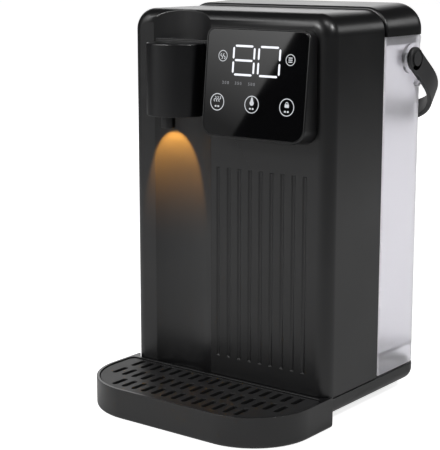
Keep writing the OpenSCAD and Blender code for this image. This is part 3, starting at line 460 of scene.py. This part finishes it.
def drop(name, radius):
    """A drop: a disc whose top is drawn up to a point in three pulls."""
    sides, narrowing = 32, 0.82
    pulls = ((0.75, 0.35), (0.9, 0.35), (0.99, 0.6))
    bpy.ops.object.select_all(action="DESELECT")
    bpy.ops.mesh.primitive_circle_add(vertices=sides, radius=radius, fill_type="NGON")
    piece = bpy.context.object
    piece.name = name
    for reach, lift in pulls:
        pick(piece, lambda place: place.y > radius * reach)
        bpy.ops.transform.translate(value=(0, radius * lift, 0))
        bpy.ops.transform.resize(value=(narrowing, 1.0, 1.0))
    bpy.ops.mesh.select_all(action="SELECT")
    bpy.ops.mesh.extrude_region_move(TRANSFORM_OT_translate={"value": (0, 0, film_thick)})
    bpy.ops.mesh.select_all(action="SELECT")
    bpy.ops.mesh.normals_make_consistent(inside=False)
    bpy.ops.object.mode_set(mode="OBJECT")
    return piece


touch_up = face_up(0.232)
touch_xs = [x - face_middle for x in (0.0025, 0.033, 0.063)]
dash_side, dash_drop = 0.0012, 0.0030
wave_side, wave_low, wave_high = 0.0021, 0.0012, 0.0030
sign_rise, bow_rise = 0.0010, 0.0024
touch_ring = ring("touch_ring", outer=0.0062, stroke=0.0006)
short_dash = bar("short_dash", length=0.0019, width=0.0013)
marks = []
for at in touch_xs:
    marks.append(copy_to(touch_ring, "touch_ring_copy", at, touch_up))
    for side in (-1, 1):
        marks.append(copy_to(short_dash, "touch_dash", at + side * dash_side, touch_up - dash_drop))
wave = half_ring("wave", outer=0.0011, stroke=0.0005)
for i in (-1, 0, 1):
    wave_x = touch_xs[0] + i * wave_side
    marks.append(copy_to(wave, "wave_low", wave_x, touch_up + wave_low, math.pi / 2))
    marks.append(copy_to(wave, "wave_high", wave_x, touch_up + wave_high, -math.pi / 2))
drop_mark = drop("drop_mark", radius=0.0018)
marks.append(copy_to(drop_mark, "drop", touch_xs[1], touch_up + sign_rise))
lock_x, lock_y, lock_r = 0.0018, 0.0012, 0.0004
lock_body = rounded_block("lock_body", (-lock_x, -lock_y, 0), (lock_x, lock_y, film_thick),
                          lock_r, lock_r, steps=4)
lock_bow = half_ring("lock_bow", outer=0.0013, stroke=0.0005)
marks.append(copy_to(lock_body, "lock", touch_xs[2], touch_up + sign_rise))
marks.append(copy_to(lock_bow, "bow", touch_xs[2], touch_up + bow_rise))
for spent in (touch_ring, short_dash, drop_mark, lock_body, lock_bow):
    bpy.data.objects.remove(spent)
touch_marks = join("touch_marks", marks)
set_on_face(touch_marks)
finish_piece(touch_marks, lit_marks, "stand")

icon_ring = ring("icon_ring", outer=0.0040, stroke=0.0005)
icon_bar = bar("icon_bar", length=0.0036, width=0.0007)
icons = []
icon_at = [(0.0051 - face_middle, face_up(0.2648)), (0.0635 - face_middle, face_up(0.2644))]
for across, up in icon_at:
    icons.append(copy_to(icon_ring, "icon_ring_copy", across, up))
ripple_side, ripple_rise, ripple_drop, level_step = 0.0011, 0.0006, 0.0012, 0.0014
(ripple_x, ripple_y), (level_x, level_y) = icon_at
for i in (-1, 1):
    at = ripple_x + i * ripple_side
    icons.append(copy_to(wave, "icon_wave", at, ripple_y + ripple_rise, math.pi / 2))
    icons.append(copy_to(wave, "icon_wave", at, ripple_y - ripple_drop, -math.pi / 2))
for i in (-1, 0, 1):
    icons.append(copy_to(icon_bar, "icon_level", level_x, level_y + i * level_step))
for spent in (wave, icon_ring, icon_bar):
    bpy.data.objects.remove(spent)
status_icons = join("status_icons", icons)
set_on_face(status_icons)
finish_piece(status_icons, lit_marks, "stand")

label_h, label_spread, label_up = 0.0030, 1.5, face_up(0.246)
labels = ((0.0088, "200"), (0.0200, "350"), (0.0317, "500"))
amounts = []
for at, words in labels:
    bpy.ops.object.select_all(action="DESELECT")
    bpy.ops.object.text_add()
    label = bpy.context.object
    label.data.body = words
    label.data.size = label_h
    label.data.space_character = label_spread
    label.data.align_x = "CENTER"
    label.data.align_y = "CENTER"
    label.data.extrude = film_thick / 2
    bpy.ops.object.convert(target="MESH")
    label.location = (at - face_middle, label_up, film_thick / 2)
    bpy.ops.object.transform_apply(location=True, rotation=True, scale=True)
    amounts.append(label)
amount_marks = join("amount_marks", amounts)
set_on_face(amount_marks)
finish_piece(amount_marks, lit_faint, "stand")

# Water tank: one frosted clear moulding that lifts off its socket.
# Styrene-acrylonitrile with a fine frost outside, milky where light passes through two walls.

# Frosted plastic: light comes through blurred and milky. The frost is drawn coarser than the real one,
# so that it can show, and the index lower than the resin's 1.57, so that its edges stay light.
frost_mm = 1.2
frosted_clear, tree = new_material("frosted_styrene_acrylonitrile")
place = add(tree, "ShaderNodeTexCoord").outputs["Object"]
frost = add(tree, "ShaderNodeTexNoise", {"Scale": 1000 / frost_mm, "Detail": 3.0}, {"Vector": place})
haze = add(tree, "ShaderNodeMapRange", {"To Min": 0.26, "To Max": 0.35}, {"Value": frost.outputs["Fac"]})
skin = add(tree, "ShaderNodeBsdfPrincipled",
           {"Base Color": tint("#f0eff3"), "IOR": 1.35, "Transmission Weight": 0.9},
           {"Roughness": haze.outputs["Result"]})
add(tree, "ShaderNodeOutputMaterial", links={"Surface": skin.outputs["BSDF"]})
dress(frosted_clear, "water_tank")

# Valve spring: the coil in the tank's valve that shuts it when the tank is lifted off its socket.
# Wound from spring steel wire.

coil = copy_of("valve_spring")
shade(coil)
coil.data.materials.clear()
coil.data.materials.append(plated_steel)
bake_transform(coil)
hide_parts("valve_spring")

# Tank lid: a deep black cap with large rounded edges that sits on the tank's rim.
# One ABS moulding that lifts straight off, with a locating rim inside.
# Its top falls a little to a rounded front edge, and the rim reaches deep into the tank.

lid_low, lid_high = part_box("tank_lid")
rim_deep, rim_more = 0.004, 0.0025
lid_fall, lid_wall, lid_round = 0.0017, 0.006, 0.0020
lid_near, lid_above = 0.0005, 0.001
lid_seat = lid_low.z + rim_deep
lid_squash = 1 - lid_fall / (lid_high.z - lid_seat)
lid = copy_of("tank_lid")
pick(lid, lambda place: place.z < lid_low.z + lid_near)
bpy.ops.transform.translate(value=(0, 0, -rim_more))
pick(lid, lambda place: place.y < lid_low.y + lid_wall and place.z > lid_seat)
bpy.ops.transform.resize(value=(1, 1, lid_squash), center_override=(0, 0, lid_seat))
bpy.ops.object.mode_set(mode="OBJECT")
round_edges(lid, width=lid_round, steps=6,
            where=lambda place: place.y < lid_low.y + lid_near and place.z > lid_seat + lid_above)
shade(lid)
finish_piece(lid, satin_abs, "lid")
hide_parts("tank_lid")

# Tank handle: a flat strip bent into a U that hangs on two pivots at the tank's sides.
# Moulded in polypropylene with rounded edges; pressed over the pivots, whose caps hold it.

pivot_low, pivot_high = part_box("handle_pivots")
pivot = (pivot_low + pivot_high) / 2
strip_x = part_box("tank_handle")[1].x
strip_w, strip_t, strip_reach, strip_bend, hole_r = 0.0172, 0.0036, 0.084, 0.060, 0.0043
strip_rest = math.radians(-36.5)
bend_y = strip_reach - strip_bend
bend_x = strip_x - strip_bend
bend_steps, disc_sides = 28, 48
bpy.ops.object.select_all(action="DESELECT")
bpy.ops.mesh.primitive_plane_add(size=1.0, rotation=(math.pi / 2, 0, 0))
handle = bpy.context.object
handle.name = "bent_handle"
bpy.ops.object.transform_apply(location=True, rotation=True, scale=True)
bpy.ops.object.mode_set(mode="EDIT")
bpy.ops.transform.resize(value=(strip_t, 1.0, strip_w))
bpy.ops.transform.translate(value=(strip_x - strip_t / 2, 0, 0))
bpy.ops.mesh.extrude_region_move(TRANSFORM_OT_translate={"value": (0, bend_y, 0)})
bpy.ops.mesh.spin(steps=bend_steps, angle=-math.pi / 2, center=(bend_x, bend_y, 0), axis=(0, 0, 1))
bpy.ops.mesh.extrude_region_move(TRANSFORM_OT_translate={"value": (-2 * bend_x, 0, 0)})
bpy.ops.mesh.spin(steps=bend_steps, angle=-math.pi / 2, center=(-bend_x, bend_y, 0), axis=(0, 0, 1))
bpy.ops.mesh.extrude_region_move(TRANSFORM_OT_translate={"value": (0, -bend_y, 0)})
bpy.ops.mesh.select_all(action="SELECT")
bpy.ops.mesh.remove_doubles(threshold=0.00001)
bpy.ops.mesh.normals_make_consistent(inside=False)
bpy.ops.object.mode_set(mode="OBJECT")


def disc(side, radius, depth):
    """A disc about the pivots' axis in one end of the strip."""
    bpy.ops.object.select_all(action="DESELECT")
    bpy.ops.mesh.primitive_cylinder_add(vertices=disc_sides, radius=radius, depth=depth,
                                        location=(side * (strip_x - strip_t / 2), 0, 0),
                                        rotation=(0, math.pi / 2, 0))
    return bpy.context.object


def work(piece, tool, how):
    """Adds a tool to a piece or cuts it out of the piece, and deletes the tool."""
    take(piece)
    step = piece.modifiers.new("work", "BOOLEAN")
    step.object = tool
    step.operation = how
    bpy.ops.object.modifier_apply(modifier=step.name)
    bpy.data.objects.remove(tool)


for side in (-1, 1):
    work(handle, disc(side, strip_w / 2, strip_t), "UNION")
for side in (-1, 1):
    work(handle, disc(side, hole_r, 2 * strip_t), "DIFFERENCE")
take(handle)
at_pivot = Matrix.Translation((0, pivot.y, pivot.z))
handle.matrix_world = at_pivot @ Matrix.Rotation(strip_rest, 4, "X")
bpy.ops.object.transform_apply(location=True, rotation=True, scale=True)
round_edges(handle, width=0.0009)
shade(handle)
# Polypropylene strip: a softer sheen than the housing's ABS.
strip_pp = moulded_plastic("satin_black_polypropylene", "#2a2a2b",
                           roughness=0.45, grain_mm=0.5, grain_depth=0.08)
finish_piece(handle, strip_pp, "handle")
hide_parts("tank_handle")
soften("handle_pivots", strip_pp, "tank", width=0.0004)

# Drip tray: a D-shaped black dish whose arms wrap the housing's front edges.
# ABS moulding that slides on to two tongues of the base.

soften("drip_tray", satin_abs, "tray", width=0.0003)

# Drip grid: a slotted plate that lies on the tray's ledge.
# Moulded polypropylene with three rows of drain slots, lifted out for washing.

soften("drip_grid", plain_pp, "grid", width=0.0003)

# Studio: a pale floor in a white surround, lamps in front, above, beside and behind, and the camera.
# The camera stands where the photograph was taken from, in front to the right and a little above.

scene = bpy.context.scene
scene.view_settings.view_transform = "Standard"
floor_size, floor_drop = 14.0, 0.0002
bpy.ops.object.select_all(action="DESELECT")
bpy.ops.mesh.primitive_plane_add(size=floor_size, location=(0, 0, -floor_drop))
floor = bpy.context.object
floor.name = "floor"


def seen_in(tree):
    """One for what the camera sees, straight or through the clear tank, and nought for other rays."""
    path = add(tree, "ShaderNodeLightPath")
    seen = add(tree, "ShaderNodeMath", {"operation": "MAXIMUM"},
               {0: path.outputs["Is Camera Ray"], 1: path.outputs["Is Transmission Ray"]})
    return seen.outputs["Value"]


# Matt floor paint that looks white to the camera and keeps the object's shadow; from below it is clear.
pale, tree = new_material("pale_floor_paint")
paint = add(tree, "ShaderNodeBsdfDiffuse", {"Color": tint("#e2e2e2")}).outputs["BSDF"]
place = add(tree, "ShaderNodeTexCoord").outputs["Object"]
away = add(tree, "ShaderNodeVectorMath", {"operation": "LENGTH"}, {0: place})
level = add(tree, "ShaderNodeMapRange",
            {"From Min": 0.3, "From Max": 0.9, "To Min": 0.82, "To Max": 1.0,
             "interpolation_type": "SMOOTHSTEP"},
            {"Value": away.outputs["Value"]})
glow = add(tree, "ShaderNodeEmission", {"Color": tint("#ffffff")}, {"Strength": level.outputs["Result"]})
both = add(tree, "ShaderNodeAddShader", links={0: paint, 1: glow.outputs["Emission"]})
upper = add(tree, "ShaderNodeMixShader", links={0: seen_in(tree), 1: paint, 2: both.outputs["Shader"]})
below = add(tree, "ShaderNodeNewGeometry").outputs["Backfacing"]
clear = add(tree, "ShaderNodeBsdfTransparent").outputs["BSDF"]
either = add(tree, "ShaderNodeMixShader", links={0: below, 1: upper.outputs["Shader"], 2: clear})
add(tree, "ShaderNodeOutputMaterial", links={"Surface": either.outputs["Shader"]})
floor.data.materials.append(pale)

world = bpy.data.worlds.new("white_surround")
scene.world = world
world.use_nodes = True
tree = world.node_tree
tree.nodes.clear()
level = add(tree, "ShaderNodeMapRange", {"To Min": 0.03, "To Max": 1.0}, {"Value": seen_in(tree)})
sky = add(tree, "ShaderNodeBackground", {"Color": tint("#ffffff")}, {"Strength": level.outputs["Result"]})
add(tree, "ShaderNodeOutputWorld", links={"Surface": sky.outputs["Background"]})


def facing(way, front):
    """Turns a thing's front axis along a way."""
    return way.to_track_quat(front, "Y").to_matrix().to_4x4()


def soft_box(name, place, aim, size, watts):
    """A rectangular lamp at a place, turned towards an aim."""
    data = bpy.data.lights.new(name, "AREA")
    data.shape = "RECTANGLE"
    data.size, data.size_y = size
    data.energy = watts
    lamp = bpy.data.objects.new(name, data)
    scene.collection.objects.link(lamp)
    lamp.matrix_world = Matrix.Translation(place) @ facing(Vector(aim) - Vector(place), "-Z")


soft_box("soft_box_left", (-0.4, -0.75, 0.8), (-0.4, -0.75, 0.0), (0.7, 0.7), watts=5.0)
soft_box("soft_box_high", (0.55, -0.35, 1.3), (0, 0, 0.2), (0.35, 0.35), watts=3.0)
soft_box("soft_box_rear", (0.62, 0.9, 0.58), (0.62, 0.9, 0.0), (0.6, 0.6), watts=2.5)
soft_box("small_lamp_front", (-0.3, -1.45, 1.05), (0.08, -0.05, 0.29), (0.12, 0.12), watts=8.0)
soft_box("small_lamp_right", (1.05, 0.0, 1.13), (0.09, -0.04, 0.29), (0.12, 0.12), watts=8.0)
soft_box("soft_box_far_left", (-1.3, 1.6, 0.8), (-0.1, 0, 0.3), (1.6, 0.9), watts=7.0)

# The card that the glass mirrors: it fades downwards and its edge leans, as the glass's light band shows.
card_size, card_low, card_high, card_fade = (0.9, 1.2), 0.35, 2.2, 0.1
card_edge = Vector((-0.8325, -1.2855, 0.3612))
card_way = Vector((0.5892, 0.8043, -0.0771))
card_roll = math.radians(24.0)
bpy.ops.object.select_all(action="DESELECT")
bpy.ops.mesh.primitive_plane_add(size=1.0)
card = bpy.context.object
card.name = "light_card"
card.scale = (card_size[0], card_size[1], 1.0)
bpy.ops.object.transform_apply(location=False, rotation=False, scale=True)
card_turn = facing(card_way, "Z") @ Matrix.Rotation(card_roll, 4, "Z")
card.matrix_world = Matrix.Translation(card_edge) @ card_turn @ Matrix.Translation((card_size[0] / 2, 0, 0))
card_light, tree = new_material("light_card")
place = add(tree, "ShaderNodeTexCoord").outputs["Object"]
apart = add(tree, "ShaderNodeSeparateXYZ", links={"Vector": place})
level = add(tree, "ShaderNodeMapRange",
            {"From Min": -card_fade, "From Max": card_fade, "To Min": card_low, "To Max": card_high},
            {"Value": apart.outputs["Y"]})
shine = add(tree, "ShaderNodeEmission", {"Color": tint("#ffffff")}, {"Strength": level.outputs["Result"]})
add(tree, "ShaderNodeOutputMaterial", links={"Surface": shine.outputs["Emission"]})
card.data.materials.append(card_light)

# The amber lamp shines down along the cove's wall, and its light fades out above the tray.
amber_before, amber_below, amber_down = 0.010, 0.001, math.radians(61.3)
amber_full, amber_gone = 0.055, 0.105
lamp_spot = bpy.data.lights.new("amber_lamp", "SPOT")
lamp_spot.color = tint("#ffb24a")[:3]
lamp_spot.energy = 4.9
lamp_spot.spot_size = math.radians(57.4)
lamp_spot.spot_blend = 0.3
lamp_spot.shadow_soft_size = 0.001
lamp_spot.use_nodes = True
tree = lamp_spot.node_tree
tree.nodes.clear()
fade = add(tree, "ShaderNodeMapRange",
           {"From Min": amber_full, "From Max": amber_gone, "To Min": 1.0, "To Max": 0.0,
            "interpolation_type": "SMOOTHSTEP"},
           {"Value": add(tree, "ShaderNodeLightPath").outputs["Ray Length"]})
shine = add(tree, "ShaderNodeEmission", {"Color": tint("#ffffff")}, {"Strength": fade.outputs["Result"]})
add(tree, "ShaderNodeOutputLight", links={"Surface": shine.outputs["Emission"]})
lens_low, lens_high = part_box("spout_lens")
lens = (lens_low + lens_high) / 2
amber_from = Vector((lens.x, lens.y - amber_before, lens_low.z - amber_below))
amber_way = Vector((0, math.cos(amber_down), -math.sin(amber_down)))
amber_lamp = bpy.data.objects.new("amber_lamp", lamp_spot)
scene.collection.objects.link(amber_lamp)
amber_lamp.matrix_world = Matrix.Translation(amber_from) @ facing(amber_way, "-Z")

photo_pixels, focal_pixels = 440, 1355.8
camera_down, camera_turn = math.radians(11.372), math.radians(37.544)
camera = bpy.data.objects.new("camera", bpy.data.cameras.new("camera"))
scene.collection.objects.link(camera)
camera.location = (0.5951, -0.8347, 0.3370)
camera.rotation_euler = (math.pi / 2 - camera_down, 0, camera_turn)
camera.data.sensor_fit = "HORIZONTAL"
camera.data.sensor_width = 36.0
camera.data.lens = camera.data.sensor_width * focal_pixels / photo_pixels
scene.camera = camera
